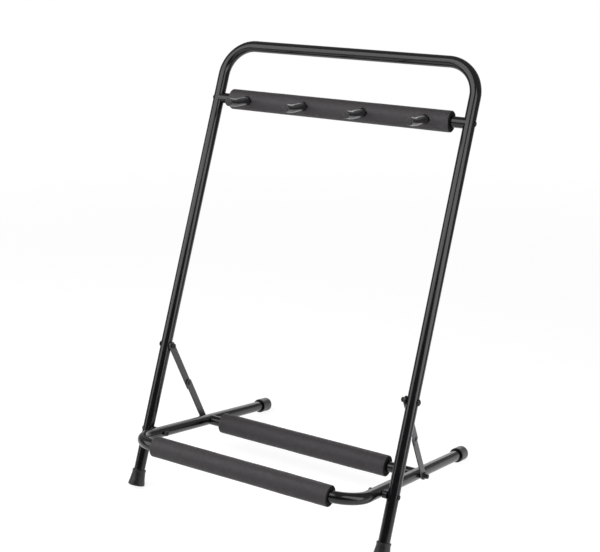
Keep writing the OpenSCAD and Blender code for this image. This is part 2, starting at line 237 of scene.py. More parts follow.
# Shader maths: a wire wraps a socket, and an expression on wires adds its Math nodes
class Wire:
    def __init__(self, board, socket):
        self.board = board
        self.socket = socket

    def __add__(self, other):
        return self.board.maths("ADD", self, other)

    def __sub__(self, other):
        return self.board.maths("SUBTRACT", self, other)

    def __rsub__(self, other):
        return self.board.maths("SUBTRACT", other, self)

    def __mul__(self, other):
        return self.board.maths("MULTIPLY", self, other)

    def __truediv__(self, other):
        return self.board.maths("DIVIDE", self, other)

    def __rtruediv__(self, other):
        return self.board.maths("DIVIDE", other, self)

    def __abs__(self):
        return self.board.make("ShaderNodeMath", {"operation": "ABSOLUTE"}, i0=self)

    __radd__ = __add__
    __rmul__ = __mul__


class Board:
    # The node tree of one material or world
    def __init__(self, owner):
        owner.use_nodes = True
        self.tree = owner.node_tree
        self.tree.nodes.clear()

    def make(self, kind, settings=None, out=0, **inputs):
        # Adds a node: settings first, then each input by name or number, as a value or a wire
        node = self.tree.nodes.new(kind)
        for key, value in (settings or {}).items():
            if key == "stops":
                self.setStops(node.color_ramp, value)
            else:
                setattr(node, key, value)
        for key, value in inputs.items():
            socket = node.inputs[int(key[1:])] if key[1:].isdigit() else node.inputs[key.replace("_", " ")]
            if isinstance(value, Wire):
                self.tree.links.new(value.socket, socket)
            else:
                socket.default_value = value
        return Wire(self, node.outputs[out]) if len(node.outputs) else node

    def setStops(self, ramp, stops):
        while len(ramp.elements) < len(stops):
            ramp.elements.new(1.0)
        for element, (place, grey) in zip(ramp.elements, stops):
            element.position = place
            element.color = (grey, grey, grey, 1)

    def maths(self, operation, first, second):
        return self.make("ShaderNodeMath", {"operation": operation}, i0=first, i1=second)

    def mixColours(self, factor, first, second):
        return self.make("ShaderNodeMix", {"data_type": "RGBA"}, 2,
                         i0=factor, i6=(*first, 1), i7=(*second, 1))

    def place(self):
        return self.make("ShaderNodeTexCoord", out=3)

    def noise(self, where, perMetre, detail=2.0, rough=0.5):
        return self.make("ShaderNodeTexNoise", Vector=where, Scale=perMetre, Detail=detail, Roughness=rough)

    def cells(self, where, perMetre):
        return self.make("ShaderNodeTexVoronoi", {"feature": "F1"}, Vector=where, Scale=perMetre)

    def ramp(self, value, *stops):
        return self.make("ShaderNodeValToRGB", {"stops": stops}, Fac=value)

    def bump(self, height, strength, distance):
        return self.make("ShaderNodeBump", Strength=strength, Distance=distance, Height=height)

    def finish(self, **inputs):
        shader = self.make("ShaderNodeBsdfPrincipled", **inputs)
        self.make("ShaderNodeOutputMaterial", Surface=shader)


def newCoat(name, look):
    material = bpy.data.materials.new(name)
    return material, Board(material), look


print("stage 2: tools are ready")

# Materials, each with its own look: two colours, roughness from gloss to dull, and how many cells or clouds
# of each pattern there are to a metre
paintLook = dict(dark=(0.004, 0.004, 0.005), pale=(0.009, 0.009, 0.0105), gloss=0.15, dull=0.26,
                 speckDull=0.12, clouds=14, rubs=55, specks=1900, peel=480, peelShare=0.035)


def satinPaint(look):
    # Black stoved paint: faint clouds in its depth, an orange peel of 2 mm and a few duller rubs and specks
    coat, b, s = newCoat("satinPaint", look)
    where = b.place()
    clouds = b.noise(where, s["clouds"], 3)
    rubs = b.ramp(b.noise(where, s["rubs"], 5, 0.65), (0.45, 0), (0.75, 1))
    specks = b.ramp(b.noise(where, s["specks"], 1), (0.7, 0), (0.78, 1))
    peel = b.noise(where, s["peel"], 2)
    roughness = s["gloss"] + rubs * (s["dull"] - s["gloss"]) + specks * s["speckDull"]
    b.finish(Base_Color=b.mixColours(clouds, s["dark"], s["pale"]), Roughness=roughness,
             Normal=b.bump(peel, s["peelShare"], 0.0003), IOR=1.5)
    return coat


# Paler than the tube paint: the lift is a painted reflection of the white floor on the strips' flat faces
linkLookPaintedReflection = dict(dark=(0.035, 0.035, 0.037), pale=(0.06, 0.06, 0.063), gloss=0.28, dull=0.42, clouds=60,
                grain=900)


def stripPaint(look):
    # The same paint over flat strip: duller, with fine rolling lines that show through as a bump. Its colours
    # are paler than the tubes' paint, a painted reflection of the white floor on the strips' flat faces
    coat, b, s = newCoat("stripPaint", look)
    where = b.place()
    clouds = b.noise(where, s["clouds"], 4, 0.6)
    grain = b.noise(where, s["grain"], 3)
    b.finish(Base_Color=b.mixColours(clouds, s["dark"], s["pale"]),
             Roughness=s["gloss"] + clouds * (s["dull"] - s["gloss"]),
             Normal=b.bump(grain, 0.25, 0.0002), IOR=1.5)
    return coat


boltLook = dict(black=(0.02, 0.02, 0.021), worn=(0.16, 0.155, 0.15), gloss=0.26, metal=0.55,
                wear=420, patches=120, grain=2600)


def blackedSteel(look):
    # Blacked steel: half metal, with thin paler wear where a coarse and a fine noise agree
    coat, b, s = newCoat("blackedSteel", look)
    where = b.place()
    wear = b.ramp(b.noise(where, s["wear"], 5, 0.7), (0.55, 0), (0.72, 1)) * b.noise(where, s["patches"], 2)
    grain = b.noise(where, s["grain"], 2)
    b.finish(Base_Color=b.mixColours(wear, s["black"], s["worn"]), Metallic=s["metal"] + wear * 0.3,
             Roughness=s["gloss"] + grain * 0.16, Normal=b.bump(grain, 0.2, 0.00006))
    return coat


# cut is near black: partly the open cells' own tone, partly painted shade of the foam's shaded ends and slit
# holes
foamLook = dict(skin=(0.079, 0.0725, 0.077), pores=(0.044, 0.0405, 0.043), cut=(0.012, 0.011, 0.012),
                gloss=0.46, dull=0.62, cells=1500.0, sawnCells=1200.0, warp=700.0, warpBy=0.0006, mottle=150,
                rubbed=22)


def foamSkin(look):
    # Closed-cell foam: cells under 1 mm with darker walls, soft mottling and a long wave of rubbed skin
    coat, b, s = newCoat("foamSkin", look)
    where = b.place()
    drift = b.make("ShaderNodeTexNoise", out=1, Vector=where, Scale=s["warp"], Detail=2.0)
    shift = b.make("ShaderNodeVectorMath", {"operation": "SCALE"}, i0=drift, Scale=s["warpBy"])
    warped = b.make("ShaderNodeVectorMath", {"operation": "ADD"}, i0=where, i1=shift)
    cells = b.cells(warped, s["cells"])
    walls = b.ramp(cells, (0.25, 0), (0.75, 1))
    mottle = b.ramp(b.noise(where, s["mottle"], 4, 0.6), (0.3, 0), (0.75, 1))
    rubbed = b.noise(where, s["rubbed"], 3)
    dark = walls * 0.45 + mottle * 0.3 + rubbed * 0.15
    b.finish(Base_Color=b.mixColours(dark, s["skin"], s["pores"]),
             Roughness=s["gloss"] + mottle * (s["dull"] - s["gloss"]),
             Normal=b.bump(cells * -1.0 + mottle * 0.5, 0.4, 0.0003), IOR=1.34)
    return coat


def foamCut(look):
    # The sawn ends and slit holes, where the cells are open: much rougher, and near black, partly the open
    # cells' own tone and partly painted shade of the shaded ends and holes. The cell hollows are darkened
    # further as painted shade
    coat, b, s = newCoat("foamCut", look)
    where = b.place()
    cells = b.cells(where, s["sawnCells"])
    # The pits of the cells are darkened to a third of the cut colour: painted shade
    shadedHollows = b.ramp(cells, (0.2, 1), (0.6, 0))
    b.finish(Base_Color=b.mixColours(shadedHollows, s["cut"], tuple(v * 0.35 for v in s["cut"])),
             Roughness=0.9 + shadedHollows * 0.1, Normal=b.bump(cells, 0.8, 0.0005), IOR=1.3)
    return coat


vinylLook = dict(dark=(0.02, 0.02, 0.022), pale=(0.032, 0.031, 0.034), gloss=0.16, ripples=130, marks=70,
                 tip=(0.045, 0.043, 0.045), scuff=(0.06, 0.058, 0.06), tipDull=0.72, scratches=900)


def dippedVinyl(look):
    # Dipped vinyl: deep gloss, slow ripples of the dip and dull finger marks
    coat, b, s = newCoat("dippedVinyl", look)
    where = b.place()
    ripples = b.noise(where, s["ripples"], 2)
    marks = b.ramp(b.noise(where, s["marks"], 4, 0.6), (0.5, 0), (0.8, 1))
    b.finish(Base_Color=b.mixColours(ripples, s["dark"], s["pale"]), Roughness=s["gloss"] + marks * 0.14,
             Normal=b.bump(ripples, 0.1, 0.0006), IOR=1.52)
    return coat


def scuffedTip(look):
    # The peg's end, rubbed dull: the same vinyl under a grey bloom of fine scratches
    coat, b, s = newCoat("scuffedTip", look)
    where = b.place()
    scratches = b.ramp(b.noise(where, s["scratches"], 4, 0.7), (0.4, 0), (0.7, 1))
    b.finish(Base_Color=b.mixColours(scratches, s["tip"], s["scuff"]),
             Roughness=s["tipDull"] + scratches * 0.2,
             Normal=b.bump(scratches, 0.3, 0.0002), IOR=1.4)
    return coat


rubberLook = dict(name="mouldedRubber", dark=(0.009, 0.009, 0.0095), pale=(0.026, 0.026, 0.027), gloss=0.3,
                  dull=0.5, bloom=90, grain=1500)
greyRubberLook = dict(rubberLook, name="greyRubber", dark=(0.034, 0.034, 0.035), pale=(0.06, 0.06, 0.062))


def mouldedRubber(look):
    # Moulded rubber: eggshell sheen, a fine spark-eroded grain and chalky patches of bloom
    coat, b, s = newCoat(look["name"], look)
    where = b.place()
    bloom = b.ramp(b.noise(where, s["bloom"], 5, 0.65), (0.35, 0), (0.75, 1))
    grain = b.noise(where, s["grain"], 3, 0.6)
    b.finish(Base_Color=b.mixColours(bloom, s["dark"], s["pale"]),
             Roughness=s["gloss"] + bloom * (s["dull"] - s["gloss"]),
             Normal=b.bump(grain, 0.35, 0.00025), IOR=1.5)
    return coat


plugLook = dict(zinc=(0.36, 0.36, 0.37), grey=(0.22, 0.22, 0.23), gloss=0.3, spangle=420.0)


def zincPlate(look):
    # Bright zinc on the plugs and rods that sit inside: a spangle of crystals over metal
    coat, b, s = newCoat("zincPlate", look)
    where = b.place()
    spangle = b.cells(where, s["spangle"])
    b.finish(Base_Color=b.mixColours(spangle, s["zinc"], s["grey"]), Metallic=0.9,
             Roughness=s["gloss"] + spangle * 0.25, Normal=b.bump(spangle, 0.15, 0.0002))
    return coat


paint = satinPaint(paintLook)
strip = stripPaint(linkLookPaintedReflection)
blacked = blackedSteel(boltLook)
skin = foamSkin(foamLook)
sawn = foamCut(foamLook)
vinyl = dippedVinyl(vinylLook)
tip = scuffedTip(vinylLook)
rubber = mouldedRubber(rubberLook)
greyRubber = mouldedRubber(greyRubberLook)
zinc = zincPlate(plugLook)
for hidden in ("top_crossbar_plugs", "rear_crossbar_plugs", "peg_rods"):
    frame["nodes"][hidden].data.materials.clear()
    frame["nodes"][hidden].data.materials.append(zinc)
print("stage 3: materials are mixed")

# The two bent tubes: the radii of their bends, and the rubber that lies beyond their ends
tubeLook = dict(around=56, step=0.005, bendSteps=40, oval=0.035)
legBend = 0.054
armBend = 0.0465
footFloor = 0.006
capFloor = 0.0045


def uLine(half, high, low, bend, s):
    # Up one side, round a quarter bend, across, round another and down: places (x, along), headings and
    # how far into a bend each place is, from 0 to 1 and back
    up = np.linspace(-low, high - bend, int((high - bend + low) / s["step"]))[:-1]
    across = np.linspace(bend - half, half - bend, int(2 * (half - bend) / s["step"]))[1:-1]
    turn = np.linspace(0, np.pi / 2, s["bendSteps"])
    left = np.stack([bend - half - bend * np.cos(turn), high - bend + bend * np.sin(turn)], -1)
    line = np.concatenate([
        np.stack([np.full_like(up, -half), up], -1), left,
        np.stack([across, np.full_like(across, high)], -1),
        (left * [-1, 1])[::-1], np.stack([np.full_like(up, half), up[::-1]], -1)])
    heading = np.concatenate([np.full_like(up, np.pi / 2), np.pi / 2 - turn, 0 * across, -turn,
                              np.full_like(up, -np.pi / 2)])
    bending = np.concatenate([0 * up, np.sin(2 * turn), 0 * across, np.sin(2 * turn), 0 * up])
    return line, heading, bending


def bentTube(origin, along, out, half, high, low, bend, s):
    # A round section carried along the U line, a little oval where it bends: the outer wall runs one way and
    # the bore runs back, so the shell closes through its two ends
    line, heading, bending = uLine(half, high, low, bend, s)
    angle = np.linspace(0, 2 * np.pi, s["around"], endpoint=False)
    centre = origin + sideways * line[:, :1] + along * line[:, 1:]
    inward = sideways * -np.sin(heading)[:, None] + along * np.cos(heading)[:, None]

    def wall(radius):
        flat = radius * (1 - s["oval"] * bending)[:, None, None] * np.cos(angle)[None, :, None]
        wide = radius * (1 + s["oval"] / 3 * bending)[:, None, None] * np.sin(angle)[None, :, None]
        return centre[:, None] + inward[:, None] * flat + out * wide

    points = np.concatenate([wall(sizes["tube"]), wall(sizes["tube"] - sizes["wall"])[::-1]])
    return gridShell(points, loop=True)


# The rounding of the rubber's edge, and how much of it the floor has worn flat
rubberEdge = 0.0025
treadFlat = 0.0005

# Heights and reaches that the frame's boxes give
tubeFit = sizes["tube"] + sizes["fit"]
rubberLow, rubberHigh = corners("foot_right")
capLow, capHigh = corners("rear_cap_right")
footRadius = (rubberHigh[0] - rubberLow[0]) / 2
capRadius = (capHigh[0] - capLow[0]) / 2
legRise = (frameHigh[2] - sizes["tube"] - pivot[2]) / legUp[2]
frontReach = (pivot[1] - baseLow[1] - sizes["tube"]) / armBack[1]
treadRise = (footRadius - rubberEdge) * legUp[1] + rubberEdge * (1 - legUp[2]) - treadFlat
legDrop = (pivot[2] - treadRise) / legUp[2]
capDrop = (capRadius - rubberEdge) * armBack[1] + rubberEdge - treadFlat
armReach = rubberEdge + (pivot[2] - capDrop) / -armBack[2]

legTube = bentTube(pivot, legUp, legFront, legX, legRise, legDrop - footFloor, legBend, tubeLook)
armTube = bentTube(pivot, -armBack, armTop, armX, frontReach, armReach - capFloor, armBend, tubeLook)
makePiece("legFrame", [legTube], [paint], "main_frame", ["main_frame_tube"], poles=False)
makePiece("baseFrame", [armTube], [paint], "base_frame", ["base_frame_tube"], poles=False)

barLook = dict(around=56, rows=40)


def crossbar(middle, half, tubeLine, s):
    # Straight tube with shaped ends: where its wall stands q to the side of the round tube's line, the end
    # is drawn back by the root of the tube's radius squared less q squared
    angle = np.linspace(0, 2 * np.pi, s["around"], endpoint=False)
    steps = np.linspace(-1, 1, s["rows"])[:, None]

    def wall(radius):
        end = half - np.sqrt(tubeFit ** 2 - (radius * np.sin(angle)) ** 2)
        return steps * end[None], np.full((s["rows"], s["around"]), radius)

    outside, inside = wall(sizes["bar"]), wall(sizes["bar"] - sizes["wall"])
    along, radius = (np.concatenate([outer, bore[::-1]]) for outer, bore in zip(outside, inside))
    return gridShell(turned(along, radius, middle, sideways, tubeLine, s["around"]), loop=True)


topBarMiddle = middleOf("top_crossbar")
rearBarMiddle = middleOf("rear_crossbar")
makePiece("topBar", [crossbar(topBarMiddle, legX, legUp, barLook)], [paint], "main_frame",
          ["top_crossbar"], poles=False)
makePiece("rearBar", [crossbar(rearBarMiddle, armX, armBack, barLook)], [paint], "base_frame",
          ["rear_crossbar"], poles=False)
print("stage 4: tubes are bent")

# Foam sleeves
forward = np.array([0.0, -1.0, 0.0])
topFoamLook = dict(step=0.0008, around=132, edge=0.0016, wave=0.0002, pits=0.00006, mouth=0.0006, seed=11)
frontFoamLook = dict(step=0.001, around=108, edge=0.0016, wave=0.0003, pits=0.00006, mouth=0.0007, seed=23)
rearFoamLook = dict(step=0.001, around=108, edge=0.0016, wave=0.0003, pits=0.00006, mouth=0.0007, seed=37)
foamGrain = dict(swell=0.045, ripple=0.013, swellShare=0.7, pit=0.0019, saw=0.0024, sawDepth=0.00022,
                 sawLeast=0.0001, faceRows=9, boreRows=24, boreInset=0.002)
slitLook = dict(width=0.0090, height=0.0077, power=1.6, edge=0.0002, soft=0.0011, bottom=0.0003,
                lip=0.0005, lipOut=0.0008, lipWidth=0.0014)
pegLook = dict(straight=0.050, bendRadius=0.060, bend=9.0, rise=3.0, lift=0.0022, tip=0.017, edge=0.0020,
               crown=0.0005, rod=0.00455, start=0.0065, endWall=0.004, around=48, rows=60, boreRows=30)
pegNodes = ["peg_sleeve_1", "peg_sleeve_2", "peg_sleeve_3", "peg_sleeve_4"]
pegPlaces = [middleOf(node)[0] for node in pegNodes]
pegRadius = (corners(pegNodes[0])[1][0] - corners(pegNodes[0])[0][0]) / 2
pegOut = forward * np.cos(np.radians(pegLook["rise"])) + np.array([0, 0, np.sin(np.radians(pegLook["rise"]))])
pegRise = np.cross(sideways, pegOut) * -1


def slits(points, middle, depth, places, s):
    # A peg stretches a cut in the foam into an eye: height * (1 - |x / width| ^ power) - |t| is how far inside
    # the eye a point lies. Inside, the wall drops to the bar, and just outside a low lip stands up
    sunk = np.zeros(points.shape[:-1])
    facing = (points - middle) @ pegOut > 0
    for place in places:
        away = points - middle - sideways * place
        x = np.abs(away @ sideways)
        t = np.abs(away @ pegRise - pegLook["lift"])
        inside = s["height"] * (1 - (x / s["width"]) ** s["power"]) - t
        drop = depth * smoothStep(inside, -s["edge"], s["soft"])
        lip = s["lip"] * np.exp(-((inside + s["lipOut"]) / s["lipWidth"]) ** 2) * (inside < s["edge"])
        sunk += (drop - lip) * facing
    return sunk


def foamSleeve(node, bore, s, places=()):
    # A tube of foam: saw-cut end, rounded edge, outside, rounded edge, saw-cut end and bore, as one closed
    # loop turned about the bar. The outside gets slow waves and fine pits, the ends a rough cut
    low, high = corners(node)
    middle = (low + high) / 2
    half = (high[0] - low[0]) / 2
    radius = (high[1] - low[1]) / 2 - s["wave"]
    edge = s["edge"]
    grain = foamGrain
    face = np.linspace(bore + s["mouth"], radius - edge, grain["faceRows"])[:-1]
    outside = np.linspace(edge - half, half - edge, int(2 * half / s["step"]))[1:-1]
    leftArc = arc((edge - half, radius - edge), edge, 180, 90, 7)
    rightArc = leftArc[::-1] * [-1, 1]
    boreLine = np.linspace(half - grain["boreInset"], grain["boreInset"] - half, grain["boreRows"])
    along, out = profile(np.stack([np.full_like(face, -half), face], -1), leftArc,
                         np.stack([outside, np.full_like(outside, radius)], -1), rightArc,
                         np.stack([np.full_like(face, half), face[::-1]], -1),
                         np.stack([boreLine, np.full_like(boreLine, bore)], -1))
    rows = len(along)
    onFace = np.zeros(rows)
    onFace[:len(face)] = 1
    onFace[rows - len(boreLine) - len(face):rows - len(boreLine)] = 1
    onOutside = np.zeros(rows)
    outsideRows = slice(len(face), rows - len(boreLine) - len(face))
    onOutside[outsideRows] = smoothStep(out[outsideRows], radius - edge, radius)
    smooth = turned(along, out, middle, sideways, forward, s["around"])
    swell = latticeNoise(smooth, grain["swell"], s["seed"]) * grain["swellShare"]
    wave = swell + latticeNoise(smooth, grain["ripple"], s["seed"] + 1) * (1 - grain["swellShare"])
    pits = latticeNoise(smooth, grain["pit"], s["seed"] + 2)
    depth = radius - bore - slitLook["bottom"]
    lower = slits(smooth, middle, depth, places, slitLook)
    radii = out[:, None] + onOutside[:, None] * (wave * s["wave"] + pits * s["pits"] - lower)
    rough = latticeNoise(smooth, grain["saw"], s["seed"] + 3) * grain["sawDepth"]
    lengths = along[:, None] + (onFace * -np.sign(along))[:, None] * (np.abs(rough) + grain["sawLeast"])
    points = turned(lengths, radii, middle, sideways, forward, s["around"])
    cut = np.zeros(rows, int)
    cut[:len(face) + 2] = 1
    cut[rows - len(boreLine) - len(face) - 3:] = 1
    shell = gridShell(points, loop=True, cut=cut)
    return markSlits(shell, lower, depth)


def markSlits(shell, lower, depth):
    # Faces that lie inside a slit show the open cells too, in the near-black cut colour that is partly painted
    # shade of the hole
    points, faces, kinds = shell
    sunk = lower.reshape(-1)[faces].mean(1)
    return points, faces, np.where(sunk > depth * 0.25, 1, kinds)


for name, node, body, bore, look, places in (
        ("topFoam", "top_foam", "main_frame", sizes["bar"], topFoamLook, pegPlaces),
        ("frontFoam", "front_foam", "base_frame", sizes["tube"], frontFoamLook, ()),
        ("rearFoam", "rear_foam", "base_frame", sizes["bar"], rearFoamLook, ())):
    shell = foamSleeve(node, bore + sizes["fit"], look, places)
    sleeve = makePiece(name, [shell], [skin, sawn], body, [node], crease=0, poles=False)
print("stage 5: foam sleeves are cut and slit")


# Neck pegs
def pegShell(place, s):
    # A round bar carried along a line that runs straight, bends up and runs straight again. At distance d
    # the line has turned by (d - straight) / bendRadius, held between nothing and the full bend
    full = np.radians(s["bend"])
    length = s["straight"] + s["bendRadius"] * full + s["tip"]
    edge = s["edge"]
    tipArc = arc((length - edge - s["crown"], pegRadius - edge), edge, 90, 8, 10)
    crown = np.linspace(tipArc[-1, 1], 0, 7)[1:]
    crownAlong = length - s["crown"] * (crown / pegRadius) ** 2
    side = np.linspace(tipArc[0, 0] - 0.001, s["start"], s["rows"])
    bore = np.linspace(s["start"], length - s["endWall"], s["boreRows"])
    outAlong = np.concatenate([crownAlong[::-1], tipArc[::-1, 0], side])
    outRadius = np.concatenate([crown[::-1], tipArc[::-1, 1], np.full_like(side, pegRadius)])
    inAlong = np.concatenate([bore, bore[-1:]])
    inRadius = np.concatenate([np.full_like(bore, s["rod"]), [0.0]])
    d = np.concatenate([outAlong, inAlong])
    radius = np.concatenate([outRadius, inRadius])
    turn = np.clip((d - s["straight"]) / s["bendRadius"], 0, full)
    past = np.maximum(d - s["straight"] - s["bendRadius"] * full, 0)
    forwardBy = np.minimum(d, s["straight"]) + s["bendRadius"] * np.sin(turn) + past * np.cos(turn)
    upBy = s["lift"] + s["bendRadius"] * (1 - np.cos(turn)) + past * np.sin(turn)
    centre = topBarMiddle + sideways * place + forwardBy[:, None] * pegOut + upBy[:, None] * pegRise
    lift = np.cos(turn)[:, None] * pegRise - np.sin(turn)[:, None] * pegOut
    angle = np.linspace(0, 2 * np.pi, s["around"], endpoint=False)
    ring = sideways * np.cos(angle)[None, :, None] + lift[:, None] * np.sin(angle)[None, :, None]
    worn = np.where(np.arange(len(d)) < len(crown), 1, 0)
    return gridShell(centre[:, None] + ring * radius[:, None, None], cut=worn)


for number, (node, place) in enumerate(zip(pegNodes, pegPlaces), 1):
    makePiece(f"peg{number}", [pegShell(place, pegLook)], [vinyl, tip], "main_frame", [node])
print("stage 6: pegs are dipped")

# Feet under the legs and caps behind the arms
footLook = dict(height=0.028, collar=0.003, neck=0.01125, rim=0.01175, waist=0.0003, underRim=0.0012,
                rimFillet=0.0004, lip=0.0008, mouth=0.0005, mouthDepth=0.0008, around=80)
capLook = dict(length=0.028, lip=0.0009, recess=0.0042, sideFrom=0.002, sideTo=0.003, sideRows=6, around=80)


def footShell(s, mirrored):
    # Turned about the leg: rounded bottom edge, cone, collar, mouth and the bore that the tube stands in.
    # What would pass through the floor is worn flat on it
    neckHeight = s["height"] - s["collar"]
    along, radius = profile(
        (0, 0), (0, footRadius * 0.5), arc((rubberEdge, footRadius - rubberEdge), rubberEdge, 180, 90, 8),
        (neckHeight * 0.5, (footRadius + s["neck"]) / 2 - s["waist"]), (neckHeight - s["underRim"], s["neck"]),
        arc((neckHeight, s["rim"] - s["rimFillet"]), s["rimFillet"], 180, 90, 4),
        arc((s["height"] - s["lip"], s["rim"] - s["lip"]), s["lip"], 90, 0, 6),
        (s["height"], tubeFit + s["mouth"]), (s["height"] - s["mouthDepth"], tubeFit),
        (footFloor, tubeFit), (footFloor, 0))
    bottom = pivot + sideways * legX - legUp * legDrop
    points = turned(along, radius, bottom, legUp, legFront, s["around"], mirrored)
    points[..., 2] = np.maximum(points[..., 2], 0)
    return gridShell(points)


def capShell(s, mirrored):
    # Turned about the arm: domed closed end, side, thin lip and a deep dark recess round the tube
    sideAlong = np.linspace(rubberEdge + s["sideFrom"], s["length"] - s["sideTo"], s["sideRows"])
    side = np.stack([sideAlong, np.full_like(sideAlong, capRadius)], -1)
    along, radius = profile(
        (0, 0), (0, capRadius * 0.5), arc((rubberEdge, capRadius - rubberEdge), rubberEdge, 180, 90, 10), side,
        arc((s["length"] - s["lip"] / 2, capRadius - s["lip"] / 2), s["lip"] / 2, 90, -90, 8),
        (s["length"] - s["recess"], capRadius - s["lip"]), (s["length"] - s["recess"], tubeFit),
        (capFloor, tubeFit), (capFloor, 0))
    back = pivot + sideways * armX + armBack * armReach
    points = turned(along, radius, back, -armBack, armTop, s["around"], mirrored)
    points[..., 2] = np.maximum(points[..., 2], 0)
    return gridShell(points)


for side, mirrored in (("Left", True), ("Right", False)):
    makePiece("foot" + side, [footShell(footLook, mirrored)], [rubber], "main_frame",
              ["foot_" + side.lower()])
    makePiece("cap" + side, [capShell(capLook, mirrored)], [greyRubber], "base_frame",
              ["rear_cap_" + side.lower()])
print("stage 7: feet and caps are moulded")

# Bolts, nuts and rings
boltSizes = dict(shank=0.0025, socket=0.003, pitch=0.0008, thread=0.00035, nut=0.008, nutHeight=0.0045,
                 proud=0.0014, ring=0.0065, chamfer=0.0003, lead=0.0005, fade=0.0006, hair=0.0002, around=72)
domedHead = dict(radius=0.00525, height=0.0036)
lowHead = dict(radius=0.00425, height=0.0018)
flangedHead = dict(flange=0.0015, radius=0.004, height=0.0065, edge=0.0015)
ringHeight = sizes["play"] + sizes["rivetHead"] - sizes["slide"]
upperLinkX = legInner - sizes["play"] - sizes["rivetHead"] - sizes["link"]
lowerLinkX = armOuter + sizes["play"] + sizes["rivetHead"]
plugLength = 0.018


def hexRadius(acrossFlats, columns):
    # Distance from the middle of a hexagon to its side at each angle
    angle = np.linspace(0, 2 * np.pi, columns, endpoint=False)
    return acrossFlats / 2 / np.cos((angle + np.pi / 6) % (np.pi / 3) - np.pi / 6)


def boltShell(place, first, seat, head, s, mirrored, threaded=0.0):
    # Turned about X: chamfered end, threaded stretch, shank, round head with a low dome, and a hexagonal
    # socket. The thread is a ridge whose phase is along / pitch less the angle's share of a turn. A row of
    # points a hair beside an edge keeps it crisp
    n = s["around"]
    hair = s["hair"]
    angle = np.linspace(0, 1, n, endpoint=False)
    flat = np.ones(n)
    turns = np.linspace(0, threaded, int(threaded / s["pitch"] * 10) + 1)[1:] if threaded else np.zeros(0)
    saw = np.abs((turns[:, None] / s["pitch"] - angle[None]) % 1 * 2 - 1)
    fadeIn = np.minimum(1, turns / s["fade"])[:, None]
    threadRadius = s["shank"] - s["thread"] * (1 - saw * fadeIn)
    wide, high = head["radius"], head["height"]
    crown = high * 2 / 3
    ball = (wide ** 2 + crown ** 2) / (2 * crown)
    socket = hexRadius(s["socket"], n)
    domeOut = np.linspace(wide, s["socket"] * 0.72, 9)
    domeUp = seat + high - ball + np.sqrt(ball ** 2 - domeOut ** 2)
    socketTop = domeUp[-1] + 0.0001
    socketFloor = seat + high / 2
    alongs = np.concatenate([
        [first * flat, first * flat], first + turns[:, None] * flat[None],
        [(first + threaded + hair) * flat, seat * flat, seat * flat, (seat + hair) * flat],
        domeUp[:, None] * flat[None] + np.where(domeOut >= wide, -0.00015, 0)[:, None],
        [socketTop * flat, (socketTop - hair) * flat, socketFloor * flat, (socketFloor - hair) * flat]])
    radii = np.concatenate([
        [0 * flat, (s["shank"] - s["thread"]) * flat], threadRadius,
        [s["shank"] * flat, s["shank"] * flat, (wide - s["chamfer"]) * flat, wide * flat],
        domeOut[:, None] * flat[None], [socket + hair, socket, socket, 0 * flat]])
    return gridShell(turned(alongs, radii, place, sideways, legUp, n, mirrored))


def flangedShell(place, first, seat, head, s, mirrored):
    # Turned about X: chamfered shank, flange with a broken edge, fillet, round head and its rounded end
    chamfer = s["chamfer"]
    shoulder = seat + head["flange"]
    top = shoulder + head["height"]
    along, radius = profile(
        (first, 0), (first, s["shank"] - chamfer), (first + chamfer, s["shank"]), (seat, s["shank"]),
        (seat, s["ring"] - chamfer), (seat + chamfer, s["ring"]), (shoulder - chamfer, s["ring"]),
        (shoulder, s["ring"] - chamfer), (shoulder, head["radius"] + chamfer),
        (shoulder + chamfer, head["radius"]), (top - head["edge"] - chamfer, head["radius"]),
        arc((top - head["edge"], head["radius"] - head["edge"]), head["edge"], 90, 0, 8), (top, 0))
    return gridShell(turned(along, radius, place, sideways, legUp, s["around"], mirrored))


def nutShell(place, first, s, mirrored):
    # A hexagon turned about X whose corners are cut back by a 30 degree cone at both faces
    n = s["around"]
    flat = np.ones(n)
    steps = np.concatenate([[0], np.linspace(0.0001, 0.0009, 6), [s["nutHeight"] / 2]])
    steps = np.concatenate([steps, s["nutHeight"] - steps[-2::-1]])
    toFace = np.minimum(steps, s["nutHeight"] - steps)[:, None]
    hexagon = np.minimum(hexRadius(s["nut"], n)[None], s["nut"] / 2 + 0.0001 + toFace * np.sqrt(3))
    bore = s["shank"] + sizes["fit"]
    lead = s["lead"]
    boreAlong = np.array([s["nutHeight"], s["nutHeight"] - lead, lead, 0])
    boreRadius = np.array([bore + lead, bore, bore, bore + lead])
    alongs = np.concatenate([steps, boreAlong])[:, None] * flat
    radii = np.concatenate([hexagon, boreRadius[:, None] * flat])
    return gridShell(turned(first + alongs, radii, place, sideways, legUp, n, mirrored), loop=True)


def ringShell(place, first, last, s, mirrored):
    # A washer or spacer: outside, chamfers and bore
    chamfer = s["chamfer"]
    bore = s["shank"] + sizes["fit"]
    along, radius = profile(
        (first, s["ring"] - chamfer), (first + chamfer, s["ring"]), (last - chamfer, s["ring"]),
        (last, s["ring"] - chamfer), (last, bore), (first, bore))
    return gridShell(turned(along, radius, place, sideways, legUp, s["around"], mirrored), loop=True)


def bothSides(build, *arguments, **more):
    return [build(*arguments, mirrored=side, **more) for side in (True, False)]


